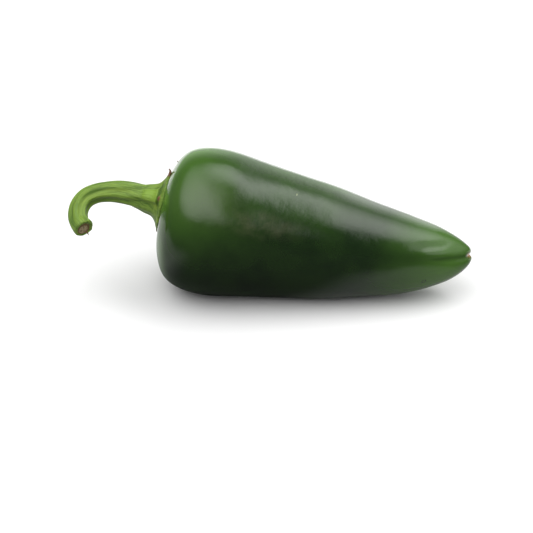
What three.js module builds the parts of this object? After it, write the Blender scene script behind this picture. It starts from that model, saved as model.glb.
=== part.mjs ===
import * as THREE from 'three';

// A whole green chilli lying on its side, with its calyx and curved stem still on.
// Millimetres, +Z up. +X runs from the calyx to the tip, and -Y is the near side.
// The origin is the middle of the flat spot that the pod rests on.
// Turns round the pod and the stem are degrees from the top towards the near side.

// Pod: its centre line as [distance along X, height]
const POD_CENTRE_LINE = [
  [-29.4, 21],
  [-13.3, 18.3],
  [2.7, 15.7],
  [18.8, 13.3],
  [34.8, 11.6],
  [50.9, 12.2],
];

// Pod: its outline as [distance along the centre line, radius]
const POD_OUTLINE = [
  [0, 0],
  [0.3, 5],
  [1.3, 11],
  [3.9, 16],
  [8.4, 18.4],
  [15.4, 18.9],
  [24.6, 17.5],
  [34.7, 16],
  [44.7, 14.5],
  [54.8, 12.2],
  [64, 10.2],
  [71.5, 7.7],
  [76.9, 4.7],
  [79.9, 2.1],
  [81, 0],
];
const POD_ROWS = 43;
const POD_COLUMNS = 40;

// Pod: three faint lobes over its inner chambers
const LOBE_COUNT = 3;
const LOBE_HEIGHT = 0.15;
const LOBE_TURN = 40;

// Pod: the crease that parts the tip in two, and the notch that it cuts across the very end
const CREASE_TURN = 72;
const CREASE_LENGTH = 16;
const CREASE_DEPTH = 0.4;
const CREASE_WIDTH = 0.9;
const NOTCH_LENGTH = 2.5;
const NOTCH_DEPTH = 0.8;

// Stem: its centre line from the cut end to the calyx
const STEM_CENTRE_LINE = [
  [-47.5, -9.8, 20],
  [-48.8, -8.1, 20.8],
  [-49.5, -6.1, 22.1],
  [-49.3, -4, 23.5],
  [-48, -2.2, 24.9],
  [-45.7, -1.1, 25.8],
  [-42.8, -0.4, 26.1],
  [-39.8, -0.1, 26.1],
  [-36.7, 0, 25.6],
  [-33.2, 0, 24.7],
  [-29.2, 0, 23.8],
];

// Stem: its outline as [distance along the centre line, radius], flaring at the calyx
const STEM_OUTLINE = [
  [0, 2.25],
  [1, 2.3],
  [5, 2.35],
  [9, 2.35],
  [13, 2.35],
  [16, 2.5],
  [19, 2.75],
  [22, 3],
  [25, 3.3],
  [26.8, 3.9],
];
const STEM_ROWS = 28;
const STEM_COLUMNS = 60;
const RIDGE_HEIGHT = 0.2;

// Stem: the cut end, dried a little hollow, with its rims as shares of the end's radius
const CUT_HOLLOW = 0.4;
const CUT_HOLLOW_SHARE = 0.6;
const CUT_RIM_SHARE = 0.88;

// Calyx: a thin plate that hugs the pod, a little above the middle of the pod's end
const CALYX_RISE = 3;
const CALYX_RADIUS = 7.4;
const CALYX_GAP = 0.3;
const CALYX_THICKNESS = 0.5;
const CALYX_EDGE_SHARE = 0.88;
const CALYX_EDGE_DROP = 0.12;

// Calyx: the foot of the stem on it as [radius, height above the plate]
const CALYX_FOOT = [
  [4.3, 1.3],
  [4.8, 0.75],
  [5.3, 0.4],
  [5.6, 0.05],
];

// Calyx: its dried teeth, one at the end of each ridge of the stem
const TOOTH_TURNS = [0, 83, 166, 236, 300];
const TOOTH_LENGTH = 0.9;
const TOOTH_SHARPNESS = 4;

const POD_COLOUR = 0x2f4a24;
const STEM_COLOUR = 0x6f9040;

const FULL_TURN = 360;
const NEAR = new THREE.Vector3(0, -1, 0);

function radians(degrees) {
  return THREE.MathUtils.degToRad(degrees);
}

function bell(offset, width) {
  return Math.exp(-((offset / width) ** 2));
}

function smoothOutline(stations) {
  return new THREE.SplineCurve(stations.map(([x, y]) => new THREE.Vector2(x, y)));
}

// A closed skin of rings round an axis, drawn to one point at both ends.
// pointAt takes a ring's number and a turn, and gives the point there.
function closedSkin(ringCount, columns, pointAt) {
  const profile = [];
  for (let ring = 0; ring < ringCount; ring += 1) {
    const onAxis = ring === 0 || ring === ringCount - 1;
    profile.push(new THREE.Vector2(onAxis ? 0 : 1, ring));
  }
  const geometry = new THREE.LatheGeometry(profile, columns);
  const position = geometry.attributes.position;
  for (let i = 0; i < position.count; i += 1) {
    const ring = i % ringCount;
    const column = Math.floor(i / ringCount) % columns;
    const point = pointAt(ring, (column * FULL_TURN) / columns);
    position.setXYZ(i, point.x, point.y, point.z);
  }
  geometry.computeVertexNormals();
  return geometry;
}

// A point given by how far it is ahead, above and to the near side of a place on an axis
function pointFrom(axis, ahead, above, near) {
  return axis.place
    .clone()
    .addScaledVector(axis.heading, ahead)
    .addScaledVector(axis.above, above)
    .addScaledVector(axis.near, near);
}

function ringPoint(axis, ahead, radius, turn) {
  const above = radius * Math.cos(radians(turn));
  const near = radius * Math.sin(radians(turn));
  return pointFrom(axis, ahead, above, near);
}

const podCentre = smoothOutline(POD_CENTRE_LINE);
const podOutline = smoothOutline(POD_OUTLINE);
const podEnd = POD_OUTLINE.at(-1)[0];
const podRadius = Math.max(...POD_OUTLINE.map((station) => station[1]));

function podAxis(distance) {
  const share = THREE.MathUtils.clamp(distance / podEnd, 0, 1);
  const place = podCentre.getPointAt(share);
  const heading = podCentre.getTangentAt(share);
  return {
    place: new THREE.Vector3(place.x, 0, place.y),
    heading: new THREE.Vector3(heading.x, 0, heading.y),
    above: new THREE.Vector3(-heading.y, 0, heading.x),
    near: NEAR,
  };
}

function podPoint(distance, radius, turn) {
  const lobe = (LOBE_HEIGHT * radius * Math.cos(radians(LOBE_COUNT * (turn - LOBE_TURN)))) / podRadius;
  const nearCrease = bell(radius * Math.sin(radians(turn - CREASE_TURN)), CREASE_WIDTH);
  const creaseFade = THREE.MathUtils.smoothstep(distance, podEnd - CREASE_LENGTH, podEnd);
  const notchFade = THREE.MathUtils.smoothstep(distance, podEnd - NOTCH_LENGTH, podEnd);
  const crease = Math.min(CREASE_DEPTH * creaseFade * nearCrease, radius / 2);
  const notch = NOTCH_DEPTH * notchFade * nearCrease;
  const point = ringPoint(podAxis(distance), -notch, radius + lobe - crease, turn);
  point.z = Math.max(point.z, 0);
  return point;
}

function podGeometry() {
  const stations = podOutline.getPoints(POD_ROWS - 1);
  return closedSkin(POD_ROWS, POD_COLUMNS, (ring, turn) => {
    return podPoint(stations[ring].x, stations[ring].y, turn);
  });
}

// How far the pod's skin at a radius lies ahead of the middle of its calyx end
function skinDepth(radius) {
  const stations = podOutline.getPoints(POD_ROWS - 1);
  const outer = stations.findIndex((station) => station.y > radius);
  const [from, to] = [stations[outer - 1], stations[outer]];
  return THREE.MathUtils.mapLinear(radius, from.y, to.y, from.x, to.x);
}

// A wave round the stem and the calyx: 1 at each tooth and -1 midway between two
function toothWave(turn) {
  const turns = [...TOOTH_TURNS, TOOTH_TURNS[0] + FULL_TURN];
  const next = turns.findIndex((tooth) => tooth > turn);
  const share = (turn - turns[next - 1]) / (turns[next] - turns[next - 1]);
  return Math.cos(2 * Math.PI * share);
}

function ridge(turn) {
  return RIDGE_HEIGHT * toothWave(turn);
}

function tooth(turn) {
  return TOOTH_LENGTH * Math.max(toothWave(turn), 0) ** TOOTH_SHARPNESS;
}

function calyxPoint(radius, lift, turn) {
  const above = CALYX_RISE + radius * Math.cos(radians(turn));
  const near = radius * Math.sin(radians(turn));
  return pointFrom(podAxis(0), skinDepth(Math.hypot(above, near)) - lift, above, near);
}

// The stem's axis at each distance, with its upper side carried back from the calyx untwisted
function stemAxes(distances) {
  const points = STEM_CENTRE_LINE.map((point) => new THREE.Vector3(...point));
  const centre = new THREE.CatmullRomCurve3(points);
  const length = centre.getLength();
  let above = podAxis(0).above;
  const axes = distances.toReversed().map((distance) => {
    const heading = centre.getTangentAt(distance / length);
    above = above.clone().addScaledVector(heading, -above.dot(heading)).normalize();
    const near = heading.clone().cross(above);
    return { place: centre.getPointAt(distance / length), heading, above, near };
  });
  return axes.reverse();
}

// Rings from the middle of the cut end, along the stem and over the calyx, to under its middle
function stemAndCalyxRings() {
  const stations = smoothOutline(STEM_OUTLINE).getPoints(STEM_ROWS - 1);
  const axes = stemAxes(stations.map((station) => station.x));
  const cutRadius = stations[0].y;
  const plate = CALYX_GAP + CALYX_THICKNESS;
  const rings = [
    (turn) => ringPoint(axes[0], CUT_HOLLOW, 0, turn),
    (turn) => ringPoint(axes[0], CUT_HOLLOW, cutRadius * CUT_HOLLOW_SHARE, turn),
    (turn) => ringPoint(axes[0], 0, cutRadius * CUT_RIM_SHARE, turn),
  ];
  stations.forEach((station, row) => {
    rings.push((turn) => ringPoint(axes[row], 0, station.y + ridge(turn), turn));
  });
  CALYX_FOOT.forEach(([radius, height]) => {
    rings.push((turn) => calyxPoint(radius + ridge(turn), plate + height, turn));
  });
  rings.push(
    (turn) => calyxPoint(CALYX_RADIUS * CALYX_EDGE_SHARE, plate, turn),
    (turn) => calyxPoint(CALYX_RADIUS + tooth(turn), plate - CALYX_EDGE_DROP, turn),
    (turn) => calyxPoint(CALYX_RADIUS + tooth(turn), CALYX_GAP, turn),
    (turn) => calyxPoint(CALYX_RADIUS / 2, CALYX_GAP, turn),
    (turn) => calyxPoint(0, CALYX_GAP, turn),
  );
  return rings;
}

function stemAndCalyxGeometry() {
  const rings = stemAndCalyxRings();
  return closedSkin(rings.length, STEM_COLUMNS, (ring, turn) => rings[ring](turn));
}

function buildPod() {
  const skin = new THREE.MeshStandardMaterial({ color: POD_COLOUR, roughness: 0.3, metalness: 0 });
  const pod = new THREE.Mesh(podGeometry(), skin);
  pod.name = 'pod';
  return pod;
}

function buildStemAndCalyx() {
  const rind = new THREE.MeshStandardMaterial({ color: STEM_COLOUR, roughness: 0.5, metalness: 0 });
  const stem = new THREE.Mesh(stemAndCalyxGeometry(), rind);
  stem.name = 'stem_and_calyx';
  return stem;
}

const chilli = new THREE.Group();
chilli.add(buildPod(), buildStemAndCalyx());

export default chilli;
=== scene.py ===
"""The looks of a whole green chilli that lies on its side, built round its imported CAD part.

The frame is in metres, with +Z up, +X from the calyx to the tip and -Y the near side.
The sizes in this script are millimetres, and MM turns them into metres.
A turn goes round the pod or the stem, from its top (0) towards its near side.
"""

import logging
import math
from dataclasses import dataclass
from enum import Enum
from typing import ClassVar

import bpy
import numpy as np
from mathutils import Matrix, Vector, noise


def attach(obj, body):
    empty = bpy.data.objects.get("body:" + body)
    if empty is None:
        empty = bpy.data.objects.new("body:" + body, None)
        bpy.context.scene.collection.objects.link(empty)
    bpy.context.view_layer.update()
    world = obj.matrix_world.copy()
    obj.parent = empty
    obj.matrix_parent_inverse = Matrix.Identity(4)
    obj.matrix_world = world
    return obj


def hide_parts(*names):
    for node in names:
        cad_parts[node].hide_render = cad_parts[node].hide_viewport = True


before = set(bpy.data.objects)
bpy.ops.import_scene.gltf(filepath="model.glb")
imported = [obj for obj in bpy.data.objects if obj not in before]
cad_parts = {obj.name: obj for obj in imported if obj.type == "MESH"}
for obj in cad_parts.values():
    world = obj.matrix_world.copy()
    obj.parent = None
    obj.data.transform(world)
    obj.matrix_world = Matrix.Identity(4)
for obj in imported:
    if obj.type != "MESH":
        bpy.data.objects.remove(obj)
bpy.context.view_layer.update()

log = logging.getLogger("chilli")

MM = 0.001
FULL_TURN = 2 * math.pi
BODY = "root"

Array = np.ndarray
Piece = bpy.types.Object
Material = bpy.types.Material
Socket = bpy.types.NodeSocket
Pair = tuple[float, float]
Triple = tuple[float, float, float]
Colour = Triple
Stations = tuple[tuple[float, ...], ...]


class CadNode(Enum):
    """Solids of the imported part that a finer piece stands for."""

    POD = "pod"
    STEM_AND_CALYX = "stem_and_calyx"


class Slot(Enum):
    """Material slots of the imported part."""

    POD_SKIN = "pod_skin"
    STEM_RIND = "stem_rind"


class Pattern(Enum):
    """Values kept on a piece's points for its finish."""

    STRAIGHT = "straight"
    # painted shade along the pod's crease
    CREASE = "crease"
    SCAR = "scar"
    RIDGE = "ridge"
    PAD = "pad"
    # darker green in the groove at the stem's foot, partly its own colour and partly painted shade
    HOLLOW = "hollow"
    DRY = "dry"
    WOOD = "wood"


# Curves and shapes


def bell(offset: Array, width: float | Array) -> Array:
    """A smooth bump that is 1 at no offset and fades within a few widths."""
    return np.exp(-((offset / width) ** 2))


def smooth_step(value: Array, start: float, end: float) -> Array:
    """Rises smoothly from 0 at start to 1 at end."""
    share = np.clip((value - start) / (end - start), 0.0, 1.0)
    return share * share * (3.0 - 2.0 * share)


def fade_out(value: Array, span: Pair) -> Array:
    """Falls smoothly from 1 to 0 over a span."""
    return 1.0 - smooth_step(value, *span)


def window(value: Array, rise: Pair, fall: Pair) -> Array:
    """Rises smoothly from 0 to 1 over one span, and falls back to 0 over a later one."""
    return smooth_step(value, *rise) * fade_out(value, fall)


def smooth_line(points: Stations, steps: int) -> Array:
    """Samples a Catmull-Rom curve through all the points, in so many steps to each span."""
    knots = np.array(points, float)
    padded = np.vstack([knots[:1], knots, knots[-1:]])
    share = np.linspace(0.0, 1.0, steps, endpoint=False)[:, None]
    spans = []
    for before, start, end, after in zip(padded, padded[1:], padded[2:], padded[3:]):
        leave = (end - before) / 2
        arrive = (after - start) / 2
        bow = 3 * (end - start) - 2 * leave - arrive
        settle = 2 * (start - end) + leave + arrive
        spans.append(start + leave * share + bow * share**2 + settle * share**3)
    return np.vstack([*spans, knots[-1:]])


def wobble(places: Array, wavelength: float, seed: float) -> Array:
    """Seeded smooth noise between about -1 and 1, at places in millimetres."""
    moved = places / wavelength + seed
    return np.array([noise.noise(Vector(place)) for place in moved])


class CentreLine:
    """A smooth line through a few points, with its upper side carried along it untwisted."""

    STEPS = 40

    def __init__(self, points: Stations, above: Array, from_end: bool = False) -> None:
        """Samples the line and carries its upper side from its first or its last point."""
        self.places = smooth_line(points, self.STEPS)
        strides = np.linalg.norm(np.diff(self.places, axis=0), axis=1)
        self.distances = np.concatenate([[0.0], np.cumsum(strides)])
        self.length = float(self.distances[-1])
        headings = np.gradient(self.places, self.distances, axis=0)
        self.headings = headings / np.linalg.norm(headings, axis=1, keepdims=True)
        self.aboves = self._carry(above, from_end)
        self.nears = np.cross(self.headings, self.aboves)

    def _carry(self, above: Array, from_end: bool) -> Array:
        """Carries the upper side along from the first or last sample, square to the line."""
        headings = self.headings[::-1] if from_end else self.headings
        carried = []
        for heading in headings:
            above = above - heading * np.dot(above, heading)
            above = above / np.linalg.norm(above)
            carried.append(above)
        return np.array(carried[::-1] if from_end else carried)

    def _sampled(self, values: Array, distance: Array) -> Array:
        """Reads one of the line's directions or its places at distances along it."""
        columns = [np.interp(distance, self.distances, column) for column in values.T]
        return np.stack(columns, axis=1)

    def place(self, distance: Array, ahead: Array, above: Array, near: Array) -> Array:
        """Places points that lie ahead of, above and nearer than the line at a distance."""
        places = self._sampled(self.places, distance)
        places += self._sampled(self.headings, distance) * ahead[:, None]
        places += self._sampled(self.aboves, distance) * above[:, None]
        places += self._sampled(self.nears, distance) * near[:, None]
        return places


@dataclass
class Rounds:
    """Points of a body turned round the X axis, in millimetres and radians."""

    distance: Array
    radius: Array
    turn: Array

    @classmethod
    def of(cls, piece: Piece) -> "Rounds":
        """Reads a straight piece's points."""
        places = np.empty(len(piece.data.vertices) * 3)
        piece.data.vertices.foreach_get("co", places)
        ahead, sideways, above = places.reshape(-1, 3).T / MM
        return cls(ahead, np.hypot(sideways, above), np.arctan2(-sideways, above))

    @property
    def above(self) -> Array:
        """How far each point lies above the axis."""
        return self.radius * np.cos(self.turn)

    @property
    def near(self) -> Array:
        """How far each point lies to the near side of the axis."""
        return self.radius * np.sin(self.turn)

    @property
    def places(self) -> Array:
        """The straight body's places, one to a row."""
        return np.stack([self.distance, -self.near, self.above], axis=1)


# Modelling


def deselect_everything() -> None:
    """Leaves no object selected or active."""
    bpy.ops.object.select_all(action="DESELECT")
    bpy.context.view_layer.objects.active = None


def close_ring(distance: float, ring: Stations) -> None:
    """Draws the selected open ring, given by its distance and radius, to one point on the axis."""
    stride = (distance - ring[0]) * MM
    bpy.ops.mesh.extrude_region_move(TRANSFORM_OT_translate={"value": (stride, 0.0, 0.0)})
    bpy.ops.mesh.merge(type="CENTER")


def turned_body(name: str, rings: Array, columns: int, refinements: int) -> Piece:
    """Models a closed body round the X axis, ring by ring from a first circle.

    Args:
        name: Name of the new piece.
        rings: A distance and a radius in millimetres for each ring, the first and the last
            with no radius.
        columns: Points round each ring.
        refinements: How many times the surface is subdivided.

    Returns:
        The piece, still straight, with its object at the origin.
    """
    deselect_everything()
    first = rings[1]
    bpy.ops.mesh.primitive_circle_add(
        vertices=columns,
        radius=first[1] * MM,
        fill_type="NOTHING",
        location=(first[0] * MM, 0.0, 0.0),
        rotation=(0.0, math.pi / 2, 0.0),
        enter_editmode=True,
    )
    piece = bpy.context.object
    piece.name = name
    piece.data.name = name
    for last, ring in zip(rings[1:], rings[2:-1]):
        stride = (ring[0] - last[0]) * MM
        growth = ring[1] / last[1]
        bpy.ops.mesh.extrude_region_move(TRANSFORM_OT_translate={"value": (stride, 0.0, 0.0)})
        bpy.ops.transform.resize(
            value=(1.0, growth, growth), center_override=(ring[0] * MM, 0.0, 0.0)
        )
    close_ring(rings[-1][0], rings[-2])
    bpy.ops.mesh.select_non_manifold(extend=False)
    close_ring(rings[0][0], first)
    bpy.ops.mesh.select_all(action="SELECT")
    bpy.ops.mesh.normals_make_consistent(inside=False)
    bpy.ops.object.mode_set(mode="OBJECT")
    bpy.ops.object.transform_apply(location=True, rotation=True, scale=True)
    smoothing = piece.modifiers.new("smoothing", "SUBSURF")
    smoothing.levels = refinements
    smoothing.render_levels = refinements
    bpy.ops.object.modifier_apply(modifier=smoothing.name)
    bpy.ops.object.shade_smooth()
    return piece


def move_points(piece: Piece, places: Array) -> None:
    """Puts a piece's points at places in millimetres."""
    piece.data.vertices.foreach_set("co", (places * MM).ravel())
    piece.data.update()


def keep_values(piece: Piece, pattern: Pattern, values: Array) -> None:
    """Keeps a value or a vector on each point of a piece, for its finish."""
    is_vector = values.ndim > 1
    kind, field = ("FLOAT_VECTOR", "vector") if is_vector else ("FLOAT", "value")
    kept = piece.data.attributes.new(pattern.value, kind, "POINT")
    kept.data.foreach_set(field, values.ravel())


# Finishes


class Graph:
    """A node tree that is wired up node by node."""

    def __init__(self, tree: bpy.types.NodeTree) -> None:
        """Takes an empty tree."""
        self.tree = tree

    def fill(self, node: bpy.types.Node, inputs: dict) -> None:
        """Links the inputs that are given as sockets, and sets the others to their values."""
        for name, value in inputs.items():
            if isinstance(value, Socket):
                self.tree.links.new(value, node.inputs[name])
            else:
                node.inputs[name].default_value = value

    def node(self, kind: str, inputs: dict | None = None, **settings: object) -> bpy.types.Node:
        """Adds a node by its type without the ShaderNode prefix, and fills and sets it up."""
        made = self.tree.nodes.new("ShaderNode" + kind)
        for name, value in settings.items():
            setattr(made, name, value)
        self.fill(made, inputs or {})
        return made

    def attribute(self, pattern: Pattern, output: str = "Fac") -> Socket:
        """Adds a reading of what a piece keeps on its points."""
        return self.node("Attribute", attribute_name=pattern.value).outputs[output]

    def maths(self, operation: str, *values: object) -> Socket:
        """Adds a sum of one to three values and returns its result."""
        return self.node("Math", dict(enumerate(values)), operation=operation).outputs[0]

    def vectors(self, operation: str, *values: object, output: str = "Vector") -> Socket:
        """Adds a sum of one or two vectors and returns one of its outputs."""
        made = self.node("VectorMath", dict(enumerate(values)), operation=operation)
        return made.outputs[output]

    def chain(self, operation: str, result: object, *values: object) -> Socket:
        """Adds the same sum for one value after another, starting from the first."""
        for value in values:
            result = self.maths(operation, result, value)
        return result

    def product(self, *values: object) -> Socket:
        """Adds the product of two or more values."""
        return self.chain("MULTIPLY", *values)

    def ramp(self, value: object, low: float | Socket, high: float | Socket) -> Socket:
        """Adds a smooth mask that rises from 0 at low to 1 at high."""
        inputs = {"Value": value, "From Min": low, "From Max": high}
        made = self.node("MapRange", inputs, interpolation_type="SMOOTHSTEP")
        return made.outputs["Result"]

    def span(self, value: object, limits: Pair) -> Socket:
        """Adds a smooth mask that rises from 0 to 1 between two limits in millimetres."""
        return self.ramp(value, limits[0] * MM, limits[1] * MM)

    def blend(self, share: object, first: object, second: object) -> Socket:
        """Adds a mix of two colours and returns the mixed colour."""
        made = self.node("Mix", {0: share}, data_type="RGBA")
        for number, colour in ((6, first), (7, second)):
            self.fill(made, {number: colour if isinstance(colour, Socket) else (*colour, 1.0)})
        return made.outputs[2]

    def coats(self, colour: object, *coats: tuple) -> Socket:
        """Lays colours over a first one in turn, each given after its own share."""
        for share, coat in coats:
            colour = self.blend(share, colour, coat)
        return colour


@dataclass(frozen=True)
class Mottle:
    """A soft cloudy mask.

    Its size is the rough size of its clouds in millimetres, and low and high are the levels of
    the noise where the mask is 0 and 1.
    """

    GROUP: ClassVar[str] = "mottle"

    size: float
    detail: float = 3.0
    low: float = 0.35
    high: float = 0.65

    def group(self) -> bpy.types.NodeTree:
        """Finds or makes the node group that all such masks share."""
        if self.GROUP in bpy.data.node_groups:
            return bpy.data.node_groups[self.GROUP]
        tree = bpy.data.node_groups.new(self.GROUP, "ShaderNodeTree")
        tree.interface.new_socket("Vector", in_out="INPUT", socket_type="NodeSocketVector")
        for label in ("Scale", "Detail", "Low", "High"):
            tree.interface.new_socket(label, in_out="INPUT", socket_type="NodeSocketFloat")
        tree.interface.new_socket("Mask", in_out="OUTPUT", socket_type="NodeSocketFloat")
        graph = Graph(tree)
        entry = tree.nodes.new("NodeGroupInput").outputs
        inputs = {label: entry[label] for label in ("Vector", "Scale", "Detail")}
        clouds = graph.node("TexNoise", inputs).outputs[0]
        mask = graph.ramp(clouds, entry["Low"], entry["High"])
        graph.fill(tree.nodes.new("NodeGroupOutput"), {"Mask": mask})
        return tree

    def mask(self, graph: Graph, place: Socket) -> Socket:
        """Adds the mask, read at a place."""
        made = graph.tree.nodes.new("ShaderNodeGroup")
        made.node_tree = self.group()
        levels = {"Detail": self.detail, "Low": self.low, "High": self.high}
        graph.fill(made, {"Vector": place, "Scale": 1 / (self.size * MM), **levels})
        return made.outputs["Mask"]


def empty_material(name: str) -> tuple[Material, Graph]:
    """Makes a material without nodes, and the graph that adds them."""
    material = bpy.data.materials.new(name)
    material.use_nodes = True
    material.node_tree.nodes.clear()
    return material, Graph(material.node_tree)


def new_material(name: str) -> tuple[Material, Graph, bpy.types.Node]:
    """Starts a material and returns it with its graph and the shader of its surface."""
    material, graph = empty_material(name)
    shader = graph.node("BsdfPrincipled")
    graph.node("OutputMaterial", {"Surface": shader.outputs[0]})
    return material, graph, shader


@dataclass(frozen=True)
class SkinMark:
    """A small mark on the skin, in millimetres on the straight pod."""

    INNER_FADE: ClassVar[float] = 0.2

    middle: Triple
    reach: Triple
    softness: float = 0.25
    inner: float = 0.0

    def mask(self, graph: Graph, straight: Socket) -> Socket:
        """Adds the mark's mask: a spot, or a ring where it has an inner edge."""
        middle = tuple(value * MM for value in self.middle)
        stretch = tuple(1 / (value * MM) for value in self.reach)
        offset = graph.vectors("SUBTRACT", straight, middle)
        place = graph.vectors("LENGTH", graph.vectors("MULTIPLY", offset, stretch), output="Value")
        spot = graph.ramp(place, 1.0, 1.0 - self.softness)
        if not self.inner:
            return spot
        return graph.product(spot, graph.ramp(place, self.inner - self.INNER_FADE, self.inner))


@dataclass(frozen=True)
class WaxySkin:
    """The pod's smooth, dark green, softly glossy skin, with a painted sheen towards its outline,
    painted shade along its crease and painted light on its upper side, shoulder and tip.
    """

    deep: Colour = (0.0045, 0.0165, 0.0025)
    painted_light_and_mottle_green: Colour = (0.052, 0.128, 0.0165)
    bloom: Colour = (0.15, 0.14, 0.085)
    scar: Colour = (0.42, 0.2, 0.1)
    fleck: Colour = (0.24, 0.28, 0.14)
    blemish: Colour = (0.01, 0.018, 0.006)
    roughness: float = 0.13
    roughness_range: float = 0.06
    ior: float = 1.46
    bump_strength: float = 0.12
    bump_height: float = 0.1
    grain: Mottle = Mottle(1.4, detail=2.0, low=0.2, high=0.8)
    ripple: Mottle = Mottle(0.4, detail=2.0, low=0.2, high=0.8)
    ripple_stretch: Triple = (1.0, 0.16, 0.16)
    ripple_height: float = 0.18
    blots: Mottle = Mottle(3.0, low=0.34, high=0.68)
    blot_ripple: float = 0.25
    smear: SkinMark = SkinMark(middle=(26.0, -14.6, 8.8), reach=(15.0, 6.0, 4.6), softness=1.0)
    smear_share: float = 0.22
    haze: SkinMark = SkinMark(middle=(12.0, -13.0, 12.0), reach=(13.0, 9.0, 10.0), softness=0.9)
    haze_share: float = 0.1
    scratch: SkinMark = SkinMark(middle=(33.7, -6.5, 14.75), reach=(0.13, 0.42, 0.42))
    ring: SkinMark = SkinMark(middle=(68.65, -8.1, -3.6), reach=(0.68, 0.5, 0.68), inner=0.7)
    # how strongly the painted shade along the crease darkens the skin
    painted_crease_shade_share: float = 0.5
    # painted sheen: how much lighter the colour grows towards the outline, and how far along the
    # pod
    painted_rim_sheen_gain: float = 0.9
    painted_rim_sheen_facing: Pair = (0.5, 0.8)
    painted_rim_sheen_along: Pair = (62.0, 40.0)
    clouds: Mottle = Mottle(9.0)
    cloud_share: float = 0.1
    painted_light_share: float = 0.85
    # where the painted light lies: the shoulder's top, by the calyx, the upper side and the tip
    shoulder_along: Pair = (30.0, 2.0)
    shoulder_above: Pair = (-9.0, 17.0)
    crown_along: Pair = (6.0, 1.0)
    crown_above: Pair = (5.0, -3.0)
    crown_share: float = 0.7
    top_above: Pair = (6.0, 15.0)
    top_share: float = 0.32
    tip_along: Pair = (51.0, 75.0)

    def material(self) -> Material:
        """Makes the skin's material."""
        material, graph, shader = new_material("waxy_skin")
        straight = graph.attribute(Pattern.STRAIGHT, "Vector")
        across = graph.node("Mapping", {"Vector": straight, "Scale": self.ripple_stretch})
        ripple = self.ripple.mask(graph, across.outputs[0])
        grain = self.grain.mask(graph, straight)
        blots = self.blots.mask(graph, straight)
        blots = graph.maths("MULTIPLY_ADD", ripple, self.blot_ripple, blots)
        smear = graph.product(blots, self.smear.mask(graph, straight), self.smear_share)
        colour = graph.coats(
            # the lighter green is painted light on the shoulder, upper side and tip, with random
            # clouds
            graph.blend(self.painted_light_and_mottle(graph, straight), self.deep, self.painted_light_and_mottle_green),
            (smear, self.bloom),
            (graph.product(self.haze.mask(graph, straight), self.haze_share), self.bloom),
            (self.ring.mask(graph, straight), self.blemish),
            (self.scratch.mask(graph, straight), self.fleck),
            # painted shade: darker green along the crease and in a soft band above it
            (graph.product(graph.attribute(Pattern.CREASE), self.painted_crease_shade_share), self.deep),
            (graph.attribute(Pattern.SCAR), self.scar),
        )
        # painted sheen: the colour grows lighter where the skin turns away from the view, short of
        # the tip
        facing_away = graph.node("LayerWeight").outputs["Facing"]
        along = graph.node("SeparateXYZ", {0: straight}).outputs["X"]
        before_tip = graph.span(along, self.painted_rim_sheen_along)
        rim = graph.product(graph.ramp(facing_away, *self.painted_rim_sheen_facing), before_tip)
        gain = graph.maths("MULTIPLY_ADD", rim, self.painted_rim_sheen_gain, 1.0)
        with_painted_rim_sheen = graph.node("VectorMath", {0: colour, "Scale": gain}, operation="SCALE")
        least = self.roughness - self.roughness_range / 2
        rough = graph.maths("MULTIPLY_ADD", grain, self.roughness_range, least)
        height = graph.maths("MULTIPLY_ADD", ripple, self.ripple_height, grain)
        depth = {"Strength": self.bump_strength, "Distance": self.bump_height * MM}
        relief = graph.node("Bump", {"Height": height, **depth})
        graph.fill(shader, {"Base Color": with_painted_rim_sheen.outputs[0], "Normal": relief.outputs[0]})
        graph.fill(shader, {"Roughness": rough, "IOR": self.ior})
        return material

    def painted_light_and_mottle(self, graph: Graph, straight: Socket) -> Socket:
        """Adds the share of the lighter green: painted light that is most at the shoulder's top, by
        the calyx, on the upper side and at the tip, with soft clouds of random tone over it.
        """
        split = graph.node("SeparateXYZ", {0: straight}).outputs
        along, above = split["X"], split["Z"]
        shoulder = graph.product(graph.span(along, self.shoulder_along),
                                 graph.span(above, self.shoulder_above))
        crown = graph.product(graph.span(along, self.crown_along),
                              graph.span(above, self.crown_above), self.crown_share)
        top = graph.product(graph.span(above, self.top_above), self.top_share)
        tip = graph.span(along, self.tip_along)
        painted_light = graph.product(graph.chain("MAXIMUM", shoulder, crown, top, tip), self.painted_light_share)
        clouds = self.clouds.mask(graph, straight)
        return graph.maths("MULTIPLY_ADD", clouds, self.cloud_share, painted_light)


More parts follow.
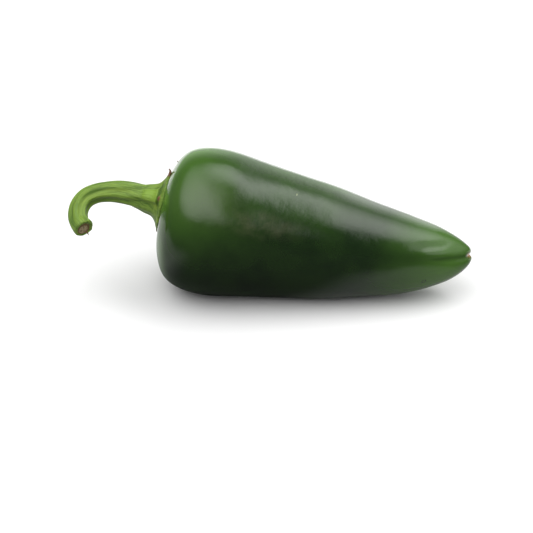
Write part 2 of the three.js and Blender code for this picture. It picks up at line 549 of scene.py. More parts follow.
@dataclass(frozen=True)
class StemRind:
    """The stem's ridged light green rind, brown where it has dried and tan where it was cut, and
    darker in the groove at its foot, partly its own colour and partly painted shade.
    """

    groove: Colour = (0.07, 0.145, 0.014)
    ridge: Colour = (0.185, 0.3, 0.038)
    sunny: Colour = (0.25, 0.35, 0.04)
    pad: Colour = (0.22, 0.36, 0.04)
    # hollow: the groove's darker green, partly its own colour and partly painted shade
    hollow: Colour = (0.04, 0.095, 0.016)
    dry: Colour = (0.17, 0.08, 0.04)
    wood: Colour = (0.4, 0.31, 0.18)
    pore: Colour = (0.09, 0.065, 0.03)
    roughness: float = 0.5
    specular: float = 0.35
    bump_strength: float = 0.5
    bump_height: float = 0.12
    fibre_stretch: Triple = (0.07, 1.0, 1.0)
    fibres: Mottle = Mottle(0.34, low=0.43, high=0.57)
    fibre_share: float = 0.5
    ridge_share: float = 0.35
    strips: Mottle = Mottle(1.1, detail=2.0)
    strip_share: float = 0.4
    sunlit: Mottle = Mottle(1.9, low=0.5, high=0.7)
    sunlit_share: float = 0.6
    pad_share: float = 0.75
    pores: Mottle = Mottle(0.5, low=0.5, high=0.68)

    def material(self) -> Material:
        """Makes the rind's material."""
        material, graph, shader = new_material("stem_rind")
        straight = graph.attribute(Pattern.STRAIGHT, "Vector")
        stretched = graph.node("Mapping", {"Vector": straight, "Scale": self.fibre_stretch})
        lengthwise = stretched.outputs[0]
        fibres = self.fibres.mask(graph, lengthwise)
        colour = graph.coats(
            self.green(graph, lengthwise, fibres),
            (graph.product(graph.attribute(Pattern.PAD), self.pad_share), self.pad),
            # darker green in the groove by the calyx's rim, partly its own colour and partly
            # painted shade
            (graph.attribute(Pattern.HOLLOW), self.hollow),
            (graph.attribute(Pattern.DRY), self.dry),
            (graph.attribute(Pattern.WOOD),
             graph.blend(self.pores.mask(graph, straight), self.wood, self.pore)),
        )
        depth = {"Strength": self.bump_strength, "Distance": self.bump_height * MM}
        relief = graph.node("Bump", {"Height": fibres, **depth})
        graph.fill(shader, {"Base Color": colour, "Normal": relief.outputs[0]})
        graph.fill(shader, {"Roughness": self.roughness, "Specular IOR Level": self.specular})
        return material

    def dried(self) -> Material:
        """Makes the finish of what has dried all through."""
        name = "dried_rind"
        if name in bpy.data.materials:
            return bpy.data.materials[name]
        material, graph, shader = new_material(name)
        graph.fill(shader, {"Base Color": (*self.dry, 1.0), "Roughness": self.roughness})
        return material

    def green(self, graph: Graph, lengthwise: Socket, fibres: Socket) -> Socket:
        """Adds the living rind's colour: light ridges and fibres, dark grooves, yellower strips."""
        ridge = graph.attribute(Pattern.RIDGE)
        strips = self.strips.mask(graph, lengthwise)
        light = graph.product(fibres, self.fibre_share)
        light = graph.maths("MULTIPLY_ADD", ridge, self.ridge_share, light)
        light = graph.maths("MULTIPLY_ADD", strips, self.strip_share, light)
        sun = graph.product(self.sunlit.mask(graph, lengthwise), self.sunlit_share)
        return graph.coats(self.groove, (light, self.ridge), (sun, self.sunny))


# The chilli


@dataclass
class Pod:
    """The pod: blunt at the shoulder, tapering to a tip that a notch parts in two."""

    centre_points: Stations = (
        (-29.4, 21.0), (-13.3, 18.3), (2.7, 15.7), (18.8, 13.3), (34.8, 11.6), (50.9, 12.2),
    )
    outline: Stations = (
        (0.0, 0.0), (0.3, 5.0), (1.3, 11.0), (3.9, 16.0), (8.4, 18.4), (15.4, 18.9), (24.6, 17.5),
        (34.7, 16.0), (44.7, 14.5), (54.8, 12.2), (64.0, 10.2), (71.5, 7.7), (76.9, 4.7),
        (79.9, 2.1), (81.0, 0.0),
    )
    widest: float = 18.9
    rings_per_span: int = 5
    columns: int = 64
    refinements: int = 2
    lobe_count: int = 3
    lobe_height: float = 0.15
    lobe_turn: float = math.radians(40)
    crease_turn: float = math.radians(72)
    crease_onset: Pair = (16.0, 4.0)
    crease_depth: float = 0.15
    crease_reach: Pair = (0.85, 1.9)
    crease_limit: float = 0.25
    # the crease's painted shade: a darker line and a soft band before it
    shade_line_width: float = 0.6
    shade_line_onset: Pair = (16.0, 8.0)
    shade_place: Pair = (-0.6, 2.4)
    shade_rise: Pair = (48.0, 58.0)
    shade_fall: Pair = (64.0, 76.0)
    fold_rise: Pair = (65.0, 69.5)
    fold_fall: Pair = (73.0, 76.8)
    fold_valley: Triple = (0.2, -3.4, 1.1)
    fold_crest: Triple = (0.22, -1.3, 1.0)
    notch_onset: Pair = (2.1, 0.0)
    notch_depth: float = 0.8
    notch_width: float = 0.6
    scar_width: float = 0.6
    scar_place: Pair = (0.9, 1.1)
    scar_onset: Pair = (2.0, 1.2)
    tip_lobe: Triple = (0.1, 1.9, 0.9)
    lobe_onset: Pair = (4.5, 1.0)
    low_lobe_reach: float = 0.2
    low_lobe_side: Pair = (0.3, 1.2)
    undulations: Stations = ((9.0, 0.06), (3.2, 0.02))
    undulation_seed: float = 3.7
    belly: Triple = (0.65, 77.0, 4.5)
    belly_side: Pair = (0.1, 0.9)
    belly_radius: Pair = (0.5, 3.0)
    dent_depth: float = 0.18
    dent_middle: float = 21.0
    dent_reach: Pair = (5.0, 3.0)
    dent_turns: Pair = (math.radians(32), math.radians(49.7))

    def __post_init__(self) -> None:
        """Works out the centre line and the profile."""
        points = tuple((along, 0.0, height) for along, height in self.centre_points)
        self.centre_line = CentreLine(points, above=np.array([0.0, 0.0, 1.0]))
        self.profile = smooth_line(self.outline, self.rings_per_span)
        self.end = self.outline[-1][0]

    def build(self) -> Piece:
        """Models the pod's skin as a closed surface."""
        piece = turned_body("pod_skin", self.profile, self.columns, self.refinements)
        rounds = Rounds.of(piece)
        keep_values(piece, Pattern.STRAIGHT, rounds.places * MM)
        # painted shade along the crease, kept for the skin's colour
        keep_values(piece, Pattern.CREASE, self.creasing(rounds))
        keep_values(piece, Pattern.SCAR, self.scarring(rounds))
        move_points(piece, self.bent(self.sculpted(rounds)))
        return piece

    def from_crease(self, rounds: Rounds) -> Array:
        """How far each point lies from the crease's plane, on the side away from the top."""
        return rounds.radius * np.sin(rounds.turn - self.crease_turn)

    def faces_crease(self, rounds: Rounds) -> Array:
        """Whether each point lies on the crease's side of the axis."""
        return np.cos(rounds.turn - self.crease_turn) > 0

    def near_end(self, rounds: Rounds, onset: Pair) -> Array:
        """A mask that rises between two distances from the pod's end."""
        return smooth_step(rounds.distance, self.end - onset[0], self.end - onset[1])

    def creasing(self, rounds: Rounds) -> Array:
        """How much painted shade each point has: a darker line in the crease, and a soft band of
        painted shade before it.
        """
        offset = self.from_crease(rounds)
        line = bell(offset, self.shade_line_width) * self.near_end(rounds, self.shade_line_onset)
        middle, width = self.shade_place
        shade = window(rounds.distance, self.shade_rise, self.shade_fall)
        shade = bell(offset - middle, width) * shade
        return np.maximum(line, shade) * self.faces_crease(rounds)

    def scarring(self, rounds: Rounds) -> Array:
        """How much of the brown scar in the notch each point has."""
        middle, reach = self.scar_place
        outwards = rounds.radius * np.cos(rounds.turn - self.crease_turn)
        spot = bell(self.from_crease(rounds), self.scar_width) * bell(outwards - middle, reach)
        return spot * self.near_end(rounds, self.scar_onset)

    def tip_lobes(self, rounds: Rounds) -> Array:
        """How far the two blunt lobes on either side of the notch reach ahead."""
        reach, middle, width = self.tip_lobe
        offset = self.from_crease(rounds)
        lobes = reach * bell(np.abs(offset) - middle, width)
        lobes = lobes + self.low_lobe_reach * smooth_step(offset, *self.low_lobe_side)
        return lobes * self.near_end(rounds, self.lobe_onset)

    def notch(self, rounds: Rounds) -> Array:
        """How deep the notch in the tip is at each point."""
        notch = self.notch_depth * bell(self.from_crease(rounds), self.notch_width)
        return notch * self.near_end(rounds, self.notch_onset)

    def crease(self, rounds: Rounds) -> Array:
        """How deep the crease is at each point, with a steeper upper side."""
        offset = self.from_crease(rounds)
        steep, gentle = self.crease_reach
        depth = self.crease_depth * bell(offset, np.where(offset < 0, steep, gentle))
        depth = depth * self.near_end(rounds, self.crease_onset)
        return np.minimum(depth, rounds.radius * self.crease_limit)

    def fold(self, rounds: Rounds) -> Array:
        """The soft fold above the crease: a shallow valley and then a low crest."""
        offset = self.from_crease(rounds)
        depth, valley, valley_width = self.fold_valley
        height, crest, crest_width = self.fold_crest
        rise = height * bell(offset - crest, crest_width)
        rise = rise - depth * bell(offset - valley, valley_width)
        mask = window(rounds.distance, self.fold_rise, self.fold_fall)
        return mask * self.faces_crease(rounds) * rise

    def dent(self, rounds: Rounds) -> Array:
        """The faint crest and the hollow below it, where the near side's wall gives a little."""
        along, around = self.dent_reach
        crest, hollow = self.dent_turns
        rise = bell((rounds.turn - crest) * rounds.radius, around)
        fall = bell((rounds.turn - hollow) * rounds.radius, around)
        return self.dent_depth * (rise - fall) * bell(rounds.distance - self.dent_middle, along)

    def unevenness(self, rounds: Rounds) -> Array:
        """The skin's faint unevenness, which fades where the pod narrows."""
        uneven = np.zeros_like(rounds.radius)
        for wavelength, height in self.undulations:
            uneven += height * wobble(rounds.places, wavelength, self.undulation_seed)
        return uneven * np.minimum(rounds.radius / self.widest, 1.0)

    def bulge(self, rounds: Rounds) -> Array:
        """How much fuller the underside of the tip is than a round one."""
        height, middle, length = self.belly
        bulge = height * bell(rounds.distance - middle, length)
        bulge = bulge * smooth_step(np.sin(rounds.turn - self.crease_turn), *self.belly_side)
        return bulge * smooth_step(rounds.radius, *self.belly_radius)

    def sculpted(self, rounds: Rounds) -> Rounds:
        """Gives the straight pod its lobes, its crease, its notch and its faint unevenness."""
        lobes = np.cos(self.lobe_count * (rounds.turn - self.lobe_turn))
        lobes = self.lobe_height * lobes * rounds.radius / self.widest
        rise = lobes - self.crease(rounds) + self.fold(rounds) + self.dent(rounds)
        rise = rise + self.unevenness(rounds) + self.bulge(rounds)
        radius = np.maximum(rounds.radius + rise, 0.0)
        distance = rounds.distance - self.notch(rounds) + self.tip_lobes(rounds)
        return Rounds(distance, radius, rounds.turn)

    def bent(self, rounds: Rounds) -> Array:
        """Bends the straight pod along its centre line, on to the floor, in millimetres."""
        length = self.centre_line.length
        along = np.clip(rounds.distance * length / self.end, 0.0, length)
        beyond = rounds.distance - np.clip(rounds.distance, 0.0, self.end)
        places = self.centre_line.place(along, beyond, rounds.above, rounds.near)
        places[:, 2] = np.maximum(places[:, 2], 0.0)
        return places

    def skin_depth(self, radius: Array) -> Array:
        """How far the skin lies ahead of the middle of the calyx end, at radii near it."""
        rising = self.profile[: int(np.argmax(self.profile[:, 1])) + 1]
        return np.interp(radius, rising[:, 1], rising[:, 0])

    def dress(self, piece: Piece) -> None:
        """Gives the pod its finish and its place in the part."""
        piece.data.materials.append(WaxySkin().material())
        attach(piece, BODY)
        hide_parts(CadNode.POD.value)


@dataclass
class StemAndCalyx:
    """The hooked stem, its cut end and the thin calyx that it spreads into."""

    pod: Pod
    centre_points: Stations = (
        (-47.5, -9.8, 20.0), (-48.8, -8.1, 20.8), (-49.5, -6.1, 22.1), (-49.3, -4.0, 23.5),
        (-48.0, -2.2, 24.9), (-45.7, -1.1, 25.8), (-42.8, -0.4, 26.1), (-39.8, -0.1, 26.1),
        (-36.7, 0.0, 25.6), (-33.2, 0.0, 24.7), (-29.2, 0.0, 23.8),
    )
    cut_end: Stations = (
        (0.3, 0.0), (0.28, 0.3), (0.24, 0.6), (0.2, 0.9), (0.18, 1.2), (0.2, 1.45), (0.28, 1.6),
        (0.16, 1.7), (0.03, 1.82), (0.0, 2.0), (0.06, 2.16), (0.2, 2.3),
    )
    outline: Stations = (
        (0.4, 2.38), (1.5, 2.42), (3.0, 2.38), (5.0, 2.35), (9.0, 2.35), (13.0, 2.35), (16.0, 2.5),
        (19.0, 2.75), (22.0, 3.0), (24.5, 3.3), (25.8, 3.75),
    )
    calyx: Stations = (
        (4.2, 2.1), (4.55, 1.75), (4.8, 1.5), (4.98, 1.34), (5.06, 1.24), (5.06, 1.14), (5.0, 1.04),
        (5.02, 0.94), (5.2, 0.86), (5.6, 0.8), (6.1, 0.72), (6.6, 0.62), (7.0, 0.48), (7.25, 0.34),
        (7.38, 0.2), (7.4, 0.05), (7.3, -0.1), (5.5, -0.15), (3.5, -0.15), (0.0, -0.15),
    )
    rings_per_span: int = 5
    columns: int = 112
    refinements: int = 1
    rise: float = 3.0
    stem_edge: Pair = (5.2, 6.2)
    ridge_height: float = 0.2
    ridge_onset: Pair = (0.3, 4.0)
    rib_height: float = 0.05
    rib_size: float = 0.6
    rib_seed: float = 8.1
    rib_onset: Pair = (0.0, 1.0)
    rib_stretch: Triple = (0.12, 1.0, 1.0)
    twist: float = math.radians(28)
    twist_end: Pair = (18.5, 26.6)
    tooth_turns: tuple[float, ...] = (0.0, 59.0, 112.0, 166.0, 236.0, 300.0)
    tooth_lengths: tuple[float, ...] = (1.7, 0.1, 0.25, 0.9, 0.7, 0.8)
    tooth_sharpness: float = 4.0
    top_tooth_curl: float = 0.5
    rim: Pair = (6.6, 7.4)
    withered_tooth: int = 1
    stub_radius: float = 6.2
    stub_width: float = 0.8
    stub_height: float = 0.7
    stub_lift: float = 0.3
    pad_height: float = 0.3
    pad_advance: float = 0.5
    pad_turn: float = math.radians(50)
    pad_start: Pair = (24.2, 26.2)
    pad_lift: Pair = (1.07, 1.19)
    pad_half_width: Pair = (math.radians(19), math.radians(29))
    groove_half_width: Pair = (math.radians(28), math.radians(44))
    foot_fill: Stations = (
        (0.62, 0.0), (0.72, 0.15), (0.8, 0.4), (0.86, 0.65), (0.94, 0.66), (1.04, 0.5), (1.14, 0.3),
        (1.24, 0.12), (1.34, 0.05), (1.5, 0.0),
    )
    foot: Pair = (24.5, 26.6)
    foot_radius: float = 4.6
    hollow_rise: Pair = (0.6, 0.78)
    hollow_fall: Pair = (1.1, 1.22)
    hollow_radius: Pair = (4.8, 5.0)
    groove_colour_and_shade_shares: Pair = (0.1, 0.5)
    swelling: float = 0.22
    swelling_length: float = 3.6
    swelling_radius: Pair = (0.5, 2.2)
    swelling_shift: Triple = (0.28, 0.0, 0.05)
    cut_depth: float = 0.5
    cut_fade: Pair = (0.3, 0.9)
    cut_relief: float = 0.14
    cut_grains: Stations = ((0.55, 1.0, 5.3), (1.3, 0.7, 2.9))
    face_shift: Pair = (-0.14, -0.45)
    face_edge: Pair = (0.9, 2.4)
    face_fade: Pair = (0.3, 1.0)
    wood_edge: Pair = (1.05, 1.25)
    dry_ring_rise: Pair = (1.0, 1.2)
    dry_ring_fall: Pair = (1.45, 1.7)
    dry_ring_share: float = 0.85
    dry_teeth: Pair = (0.2, 0.5)
    dry_stub: Pair = (0.25, 0.6)

    def __post_init__(self) -> None:
        """Works out the centre line, which starts at the cut end."""
        above = self.pod.centre_line.aboves[0]
        self.centre_line = CentreLine(self.centre_points, above, from_end=True)

    def build(self) -> Piece:
        """Models the stem and the calyx as one closed surface."""
        length = self.centre_line.length
        calyx = [(length - lift, radius) for radius, lift in self.calyx]
        stem = smooth_line(self.outline, self.rings_per_span)
        rings = np.vstack([self.cut_end, stem, calyx])
        piece = turned_body("stem_and_calyx_rind", rings, self.columns, self.refinements)
        rounds = Rounds.of(piece)
        keep_values(piece, Pattern.STRAIGHT, rounds.places * MM)
        keep_values(piece, Pattern.RIDGE, ((1 + self.ridge_wave(rounds)) / 2) ** 2)
        keep_values(piece, Pattern.PAD, self.pad_share(rounds))
        keep_values(piece, Pattern.HOLLOW, self.hollowness(rounds))
        keep_values(piece, Pattern.DRY, self.dryness(rounds))
        keep_values(piece, Pattern.WOOD, self.woodiness(rounds))
        move_points(piece, self.bent(self.sculpted(rounds)))
        return piece

    def lift(self, rounds: Rounds) -> Array:
        """How far each point stands off the pod where the calyx lies on it."""
        return self.centre_line.length - rounds.distance

    def tooth_place(self, rounds: Rounds) -> Array:
        """Numbers the places round the stem: whole at each ridge and half midway between two.

        The ridges twist a little on their way from the stem to the calyx's teeth.
        """
        twist = self.twist * fade_out(rounds.distance, self.twist_end)
        turn = np.mod(rounds.turn - twist, FULL_TURN)
        turns = np.radians([*self.tooth_turns, self.tooth_turns[0] + 360.0])
        return np.interp(turn, turns, np.arange(len(turns)))

    def ridge_wave(self, rounds: Rounds) -> Array:
        """A wave round the stem: 1 on each ridge and -1 midway between two."""
        return np.cos(FULL_TURN * self.tooth_place(rounds))

    def teeth(self, rounds: Rounds) -> Array:
        """How far each point reaches out as part of a tooth."""
        nearest = np.round(self.tooth_place(rounds)).astype(int) % len(self.tooth_lengths)
        length = np.array(self.tooth_lengths)[nearest]
        shape = np.maximum(self.ridge_wave(rounds), 0.0) ** self.tooth_sharpness
        return length * shape * smooth_step(rounds.radius, *self.rim)

    def near_pad(self, rounds: Rounds, half_width: Pair) -> Array:
        """A mask round the stem: 1 by the pad, and fading between two turns from its middle."""
        off = np.abs(np.mod(rounds.turn - self.pad_turn + math.pi, FULL_TURN) - math.pi)
        return fade_out(off, half_width)

    def filling(self, rounds: Rounds) -> Array:
        """How far the stem's foot is filled out, so that it has a groove only by the pad."""
        lifts, fills = np.array(self.foot_fill).T
        fill = np.interp(self.lift(rounds), lifts, fills) * (rounds.radius > self.foot_radius)
        return fill * (1 - self.near_pad(rounds, self.groove_half_width))

    def pad_share(self, rounds: Rounds) -> Array:
        """How much each point belongs to the swollen pad at the foot of the stem."""
        share = self.near_pad(rounds, self.pad_half_width)
        share = share * smooth_step(rounds.distance, *self.pad_start)
        return share * smooth_step(self.lift(rounds), *self.pad_lift)

    def hollowness(self, rounds: Rounds) -> Array:
        """How much darker green each point has in the groove between the stem's foot and the
        calyx's rim, most by the pad: partly the groove's own colour and partly painted shade.
        """
        groove = window(self.lift(rounds), self.hollow_rise, self.hollow_fall)
        groove = groove * smooth_step(rounds.radius, *self.hollow_radius)
        least, more = self.groove_colour_and_shade_shares
        return groove * (least + more * self.near_pad(rounds, self.groove_half_width))

    def stub(self, rounds: Rounds) -> Array:
        """The stub of the withered tooth that faces the near side."""
        turn = math.radians(self.tooth_turns[self.withered_tooth])
        off_above = rounds.above - self.stub_radius * math.cos(turn)
        off_near = rounds.near - self.stub_radius * math.sin(turn)
        spot = bell(np.hypot(off_above, off_near), self.stub_width)
        return spot * (self.lift(rounds) > self.stub_lift)

    def dryness(self, rounds: Rounds) -> Array:
        """How dry the rind is at each point: most round the cut and at the ends of the teeth."""
        cut = self.dry_ring_share * window(rounds.radius, self.dry_ring_rise, self.dry_ring_fall)
        cut = cut * (rounds.distance < self.cut_depth)
        long_teeth = smooth_step(self.teeth(rounds), *self.dry_teeth)
        return np.maximum.reduce([cut, long_teeth, smooth_step(self.stub(rounds), *self.dry_stub)])

    def woodiness(self, rounds: Rounds) -> Array:
        """Where the cut shows the stem's inside."""
        return fade_out(rounds.radius, self.wood_edge) * (rounds.distance < self.cut_depth)

    def fluting(self, rounds: Rounds) -> Array:
        """How far the stem's ridges and its fine ribs stand out at each point."""
        on_stem = fade_out(rounds.radius, self.stem_edge)
        ridges = self.ridge_height * self.ridge_wave(rounds) * on_stem
        ridges = ridges * smooth_step(rounds.distance, *self.ridge_onset)
        drawn_out = rounds.places * np.array(self.rib_stretch)
        ribs = self.rib_height * wobble(drawn_out, self.rib_size, self.rib_seed) * on_stem
        return ridges + ribs * smooth_step(rounds.distance, *self.rib_onset)

    def raggedness(self, rounds: Rounds) -> Array:
        """How far the torn fibres of the cut face stand out at each point."""
        flat = rounds.places * np.array([0.0, 1.0, 1.0])
        ragged = sum(share * wobble(flat, size, seed) for size, share, seed in self.cut_grains)
        return self.cut_relief * ragged * fade_out(rounds.distance, self.cut_fade)

    def swollen_end(self, rounds: Rounds) -> Array:
        """A mask that fades out from the stem's cut end."""
        return fade_out(rounds.distance, (0.0, self.swelling_length))

    def sculpted(self, rounds: Rounds) -> Rounds:
        """Gives the straight stem its ridges, its pad and its cut, and the calyx its teeth."""
        pad = self.pad_share(rounds)
        teeth = self.teeth(rounds)
        swelling = self.swelling * self.swollen_end(rounds)
        swelling = swelling * smooth_step(rounds.radius, *self.swelling_radius)
        radius = rounds.radius + self.fluting(rounds) + self.pad_height * pad + teeth
        radius = radius + swelling + self.filling(rounds)
        curl = self.top_tooth_curl * (teeth / self.tooth_lengths[0]) ** 2
        raised = self.pad_advance * pad + curl + self.stub_height * self.stub(rounds)
        distance = rounds.distance - raised + self.raggedness(rounds)
        return Rounds(distance, radius, rounds.turn)

    def bent(self, rounds: Rounds) -> Array:
        """Bends the straight stem along its hook and lays the calyx on the pod, in millimetres."""
        line = self.centre_line
        along = np.clip(rounds.distance, 0.0, line.length)
        on_face = fade_out(rounds.radius, self.face_edge)
        on_face = on_face * fade_out(rounds.distance, self.face_fade)
        above = rounds.above + self.face_shift[0] * on_face
        near = rounds.near + self.face_shift[1] * on_face
        hooked = line.place(along, rounds.distance - along, above, near)
        hooked += self.swollen_end(rounds)[:, None] * np.array(self.swelling_shift)
        above = self.rise + rounds.above
        depth = self.pod.skin_depth(np.hypot(above, rounds.near))
        start = np.zeros_like(depth)
        laid = self.pod.centre_line.place(start, depth - self.lift(rounds), above, rounds.near)
        share = smooth_step(rounds.distance, *self.foot)[:, None]
        return hooked * (1 - share) + laid * share

    def dress(self, piece: Piece) -> None:
        """Gives the stem and calyx their finish and their place in the part."""
        piece.data.materials.append(StemRind().material())
        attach(piece, BODY)
        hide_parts(CadNode.STEM_AND_CALYX.value)


class StrandPlace(Enum):
    """Places of the thin dried strands, as points in the frame from root to tip."""

    CUT_END = ((-47.06, -9.1, 19.1), (-46.63, -9.07, 18.46), (-46.41, -8.59, 17.65))
    TOP_TOOTH = ((-26.55, -0.3, 31.3), (-26.3, -0.25, 32.3), (-26.75, -0.1, 33.1))
    SHOULDER = ((-24.75, 3.0, 33.6), (-25.0, 3.0, 33.85), (-25.1, 2.9, 34.1))


@dataclass
class DriedStrand:
    """A thin dried fibre that sticks out of the stem or clings to the skin."""

    place: StrandPlace
    radius: float = 0.15
    taper: float = 0.6
    columns: int = 8
    rings: int = 7

    def build(self) -> Piece:
        """Models the strand, tapering from its root to its tip."""
        line = CentreLine(self.place.value, above=np.array([0.0, 1.0, 0.3]))
        shares = np.linspace(0.0, 1.0, self.rings)
        radii = self.radius * (1 - self.taper * shares)
        sides = zip(line.length * shares, radii)
        rings = np.array([(0.0, 0.0), *sides, (line.length, 0.0)])
        piece = turned_body("dried_strand_" + self.place.name.lower(), rings, self.columns, 1)
        rounds = Rounds.of(piece)
        ahead = np.zeros_like(rounds.distance)
        along = np.clip(rounds.distance, 0.0, line.length)
        move_points(piece, line.place(along, ahead, rounds.above, rounds.near))
        return piece

    def dress(self, piece: Piece) -> None:
        """Gives the strand its finish and its place in the part."""
        piece.data.materials.append(StemRind().dried())
        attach(piece, BODY)


# The studio


def facing(azimuth: float, elevation: float) -> Vector:
    """The direction at an azimuth from the front towards the tip, and an elevation."""
    round_up = math.radians(azimuth)
    rise = math.radians(elevation)
    ahead = math.cos(rise)
    return Vector((math.sin(round_up) * ahead, -math.cos(round_up) * ahead, math.sin(rise)))


@dataclass(frozen=True)
class LightPanel:
    """A large far softbox that fades towards its edges.

    Its azimuth is measured from straight in front (-Y) towards the tip (+X). Its edges are
    tangents of the angles from its middle, and each fades over twice its softness.
    """

    LOWEST_FACING: ClassVar[float] = 0.05
    GRAZING: ClassVar[Pair] = (0.05, 0.1)

    radiance: float
    azimuth: float
    elevation: float
    roll: float
    across: Pair
    across_softness: Pair
    along: Pair
    along_softness: Pair

    def axes(self) -> tuple[Vector, Vector, Vector]:
        """Works out the directions of the panel's middle and of its two sides."""
        azimuth = math.radians(self.azimuth)
        middle = facing(self.azimuth, self.elevation)
        sideways = Vector((math.cos(azimuth), math.sin(azimuth), 0.0))
        upwards = middle.cross(sideways)
        turn = Matrix.Rotation(math.radians(self.roll), 3, middle)
        return middle, turn @ sideways, turn @ upwards

    def light(self, graph: Graph, direction: Socket) -> Socket:
        """Adds the panel's light, by the direction in which it is seen, to the surroundings."""
        ahead, sideways, upwards = (
            graph.vectors("DOT_PRODUCT", direction, axis, output="Value") for axis in self.axes()
        )
        ahead = graph.maths("MAXIMUM", ahead, self.LOWEST_FACING)
        light = graph.product(self.radiance, graph.ramp(ahead, *self.GRAZING))
        for part, edges, soft in (
            (sideways, self.across, self.across_softness),
            (upwards, self.along, self.along_softness),
        ):
            place = graph.maths("DIVIDE", part, ahead)
            rise = graph.ramp(place, edges[0] - soft[0], edges[0] + soft[0])
            fall = graph.ramp(place, edges[1] + soft[1], edges[1] - soft[1])
            light = graph.product(light, graph.product(rise, fall))
        return light


class FloorWay(Enum):
    """Directions over the floor along which the sides of a zone are measured."""

    ALONG = (1.0, 0.0, 0.0)
    BACK = (0.0, 1.0, 0.0)
    BACK_RIGHT = (1.0, 0.75, 0.0)
    SLANTED = (1.0, 1.2, 0.0)


@dataclass(frozen=True)
class FloorZone:
    """A part of the floor with soft sides.

    Each side is a way and the two distances that way, in millimetres, between which the zone
    comes in.
    """

    sides: tuple[tuple[FloorWay, Pair], ...]
    share: float = 1.0

    def mask(self, graph: Graph, place: Socket) -> Socket:
        """Adds the zone's mask, times its share."""
        masks = []
        for way, limits in self.sides:
            distance = graph.vectors("DOT_PRODUCT", place, way.value, output="Value")
            masks.append(graph.span(distance, limits))
        return graph.product(*masks, self.share)


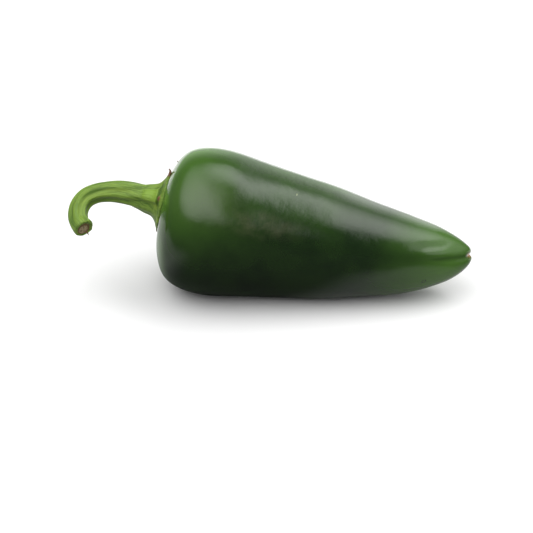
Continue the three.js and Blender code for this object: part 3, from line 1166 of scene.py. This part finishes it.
@dataclass
class Studio:
    """The white floor, the soft lights and the camera."""

    floor_size: float = 6.0
    floor_tone: float = 0.8
    # what the object sees of the floor: dim as painted shade, brighter in the zones as painted
    # bounce light
    dim_bounce: float = 0.12
    bright_bounce: float = 0.9
    bright_behind: FloorZone = FloorZone(
        ((FloorWay.BACK, (-5.0, 25.0)), (FloorWay.BACK_RIGHT, (-45.0, -5.0))),
    )
    bright_right: FloorZone = FloorZone(
        ((FloorWay.SLANTED, (-10.0, 10.0)), (FloorWay.ALONG, (95.0, 50.0))), share=0.5,
    )
    bright_left: FloorZone = FloorZone(
        (
            (FloorWay.ALONG, (-25.0, -45.0)), (FloorWay.ALONG, (-240.0, -110.0)),
            (FloorWay.BACK, (-60.0, -30.0)), (FloorWay.BACK, (56.0, 44.0)),
        ),
        share=0.5,
    )
    far_behind: FloorZone = FloorZone(((FloorWay.BACK_RIGHT, (0.0, 150.0)),))
    far_radiance: float = 1.2
    floor_fade: Pair = (0.3, 0.7)
    camera_azimuth: float = 5.0
    camera_elevation: float = 28.0
    camera_distance: float = 0.385
    camera_clip: float = 0.01
    lens: float = 100.0
    sensor: float = 36.0
    target: Triple = (-0.00198, 0.0, 0.00617)
    room_radiance: float = 0.16
    overhead_left: LightPanel = LightPanel(
        radiance=2.93, azimuth=22.6, elevation=80.2, roll=-2.2,
        across=(-1.48, 0.02), across_softness=(0.752, 0.3),
        along=(-1.25, 0.71), along_softness=(0.8, 0.921),
    )
    overhead_right: LightPanel = LightPanel(
        radiance=4.54, azimuth=209.5, elevation=68.8, roll=-180.6,
        across=(0.408, 1.223), across_softness=(0.222, 0.775),
        along=(-1.78, -0.143), along_softness=(0.95, 0.548),
    )
    overhead_back: LightPanel = LightPanel(
        radiance=3.27, azimuth=143.2, elevation=72.8, roll=-30.6,
        across=(-0.211, 0.397), across_softness=(0.306, 0.248),
        along=(-0.286, 0.238), along_softness=(0.071, 0.279),
    )
    backdrop: LightPanel = LightPanel(
        radiance=0.87, azimuth=181.5, elevation=11.9, roll=-6.4,
        across=(-0.615, 0.628), across_softness=(0.313, 0.877),
        along=(-0.26, 0.427), along_softness=(0.177, 0.451),
    )
    backdrop_glow: LightPanel = LightPanel(
        radiance=2.14, azimuth=143.3, elevation=12.8, roll=29.4,
        across=(0.241, 0.474), across_softness=(0.115, 0.172),
        along=(-0.499, 0.508), along_softness=(0.469, 0.56),
    )
    side: LightPanel = LightPanel(
        radiance=1.57, azimuth=124.1, elevation=31.7, roll=6.2,
        across=(-3.098, 0.18), across_softness=(0.755, 0.463),
        along=(-0.138, 1.084), along_softness=(0.526, 0.297),
    )

    def build(self) -> None:
        """Sets up everything round the object."""
        self.build_floor()
        self.build_surroundings()
        self.build_camera()
        bpy.context.scene.view_settings.view_transform = "Standard"

    def build_floor(self) -> None:
        """Lays the floor."""
        deselect_everything()
        bpy.ops.mesh.primitive_plane_add(size=self.floor_size)
        floor = bpy.context.object
        floor.name = "floor"
        floor.data.materials.append(self.floor_material())

    def floor_material(self) -> Material:
        """Makes a matt floor, white as the camera sees it, that melts into the white surroundings
        further out. What it bounces and reflects on to the object is painted: dim, as painted
        shade, and brighter in three zones, as painted bounce light.
        """
        material, graph = empty_material("white_floor")
        # what the object sees is painted: a dim floor as painted shade, with brighter zones as
        # painted bounce light
        seen = graph.node("LightPath").outputs["Is Camera Ray"]
        place = graph.node("TexCoord").outputs["Object"]
        zones = (self.bright_behind, self.bright_right, self.bright_left)
        bright = graph.chain("MAXIMUM", *(zone.mask(graph, place) for zone in zones))
        bounce = graph.blend(bright, (self.dim_bounce,) * 3, (self.bright_bounce,) * 3)
        tone = graph.blend(seen, bounce, (self.floor_tone,) * 3)
        matt = graph.node("BsdfDiffuse", {"Color": tone})
        far_behind = graph.maths("MULTIPLY_ADD", self.far_behind.mask(graph, place),
                                 self.far_radiance - self.room_radiance, self.room_radiance)
        sweep = graph.node("Emission", {"Strength": graph.maths("MAXIMUM", seen, far_behind)})
        reach = graph.vectors("LENGTH", place, output="Value")
        share = graph.ramp(reach, *self.floor_fade)
        mixed = graph.node("MixShader", {0: share, 1: matt.outputs[0], 2: sweep.outputs[0]})
        graph.node("OutputMaterial", {"Surface": mixed.outputs[0]})
        return material

    def build_surroundings(self) -> None:
        """Puts a white backdrop behind the object and a dim room round the rest."""
        world = bpy.data.worlds.new("studio")
        bpy.context.scene.world = world
        world.use_nodes = True
        world.node_tree.nodes.clear()
        graph = Graph(world.node_tree)
        direction = graph.node("TexCoord").outputs["Generated"]
        power = 0.0
        for panel in (self.overhead_left, self.overhead_right, self.overhead_back):
            squared = graph.maths("POWER", panel.light(graph, direction), 2.0)
            power = graph.maths("ADD", power, squared)
        light = graph.maths("MAXIMUM", graph.maths("SQRT", power), self.room_radiance)
        for panel in (self.backdrop, self.backdrop_glow, self.side):
            light = graph.maths("MAXIMUM", light, panel.light(graph, direction))
        seen = graph.node("LightPath").outputs["Is Camera Ray"]
        strength = graph.maths("MAXIMUM", light, seen)
        white = (1.0, 1.0, 1.0, 1.0)
        background = graph.node("Background", {"Strength": strength, "Color": white})
        graph.node("OutputWorld", {"Surface": background.outputs[0]})

    def build_camera(self) -> None:
        """Places the camera as the photograph has it."""
        back = facing(self.camera_azimuth, self.camera_elevation)
        lens = bpy.data.cameras.new("camera")
        lens.lens = self.lens
        lens.sensor_width = self.sensor
        lens.clip_start = self.camera_clip
        camera = bpy.data.objects.new("camera", lens)
        camera.location = Vector(self.target) + back * self.camera_distance
        camera.rotation_euler = back.to_track_quat("Z", "Y").to_euler()
        bpy.context.scene.collection.objects.link(camera)
        bpy.context.scene.camera = camera


def main() -> None:
    """Builds the studio and the chilli."""
    logging.basicConfig(level=logging.INFO, format="%(name)s: %(message)s")
    Studio().build()
    pod = Pod()
    strands = (
        DriedStrand(StrandPlace.CUT_END, radius=0.22),
        DriedStrand(StrandPlace.TOP_TOOTH, radius=0.42),
        DriedStrand(StrandPlace.SHOULDER),
    )
    for part in (pod, StemAndCalyx(pod), *strands):
        piece = part.build()
        part.dress(piece)
        log.info("%s: %d faces", piece.name, len(piece.data.polygons))


if __name__ == "__main__":
    main()
